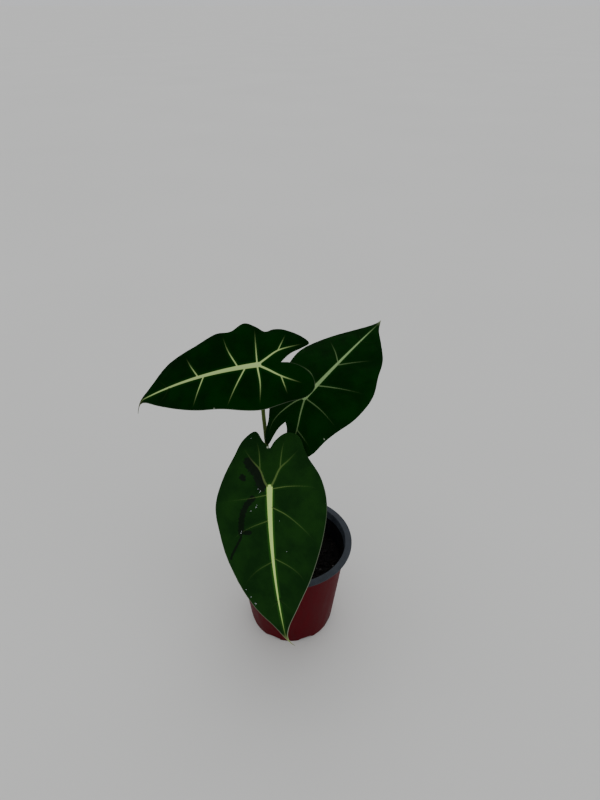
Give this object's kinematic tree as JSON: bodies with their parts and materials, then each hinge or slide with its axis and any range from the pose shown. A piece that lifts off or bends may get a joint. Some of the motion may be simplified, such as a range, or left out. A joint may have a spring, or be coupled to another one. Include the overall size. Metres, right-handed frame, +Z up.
{
  "type": "potted alocasia plant",
  "caption": "Arrow-leaved aroid house plant with dark velvety leaves and pale raised veins on slim petioles, in soil in a tapered two-colour nursery pot.",
  "frame": {"origin": "centre of the pot's base, on the surface that it stands on", "axes": "+Z up along the pot's axis, -Y towards the viewer, +X to the viewer's right"},
  "size_m": [0.2202, 0.198, 0.3263],
  "materials": {
    "pot_plastic": "moulded polypropylene, dark red outside with a slate grey lip and inner wall",
    "potting_mix": "loose dark peat and bark, matt",
    "petiole": "smooth olive stalk, faintly streaked, satin",
    "leaf_blade": "dark velvety green with pale green-white midrib and veins, paler underneath"
  },
  "bodies": {
    "root": {"pot": "pot_plastic", "soil": "potting_mix", "left_leaf_petiole": "petiole", "right_leaf_petiole": "petiole", "front_leaf_petiole": "petiole", "left_leaf_blade": "leaf_blade", "right_leaf_blade": "leaf_blade", "front_leaf_blade": "leaf_blade"}
  },
  "joints": []
}
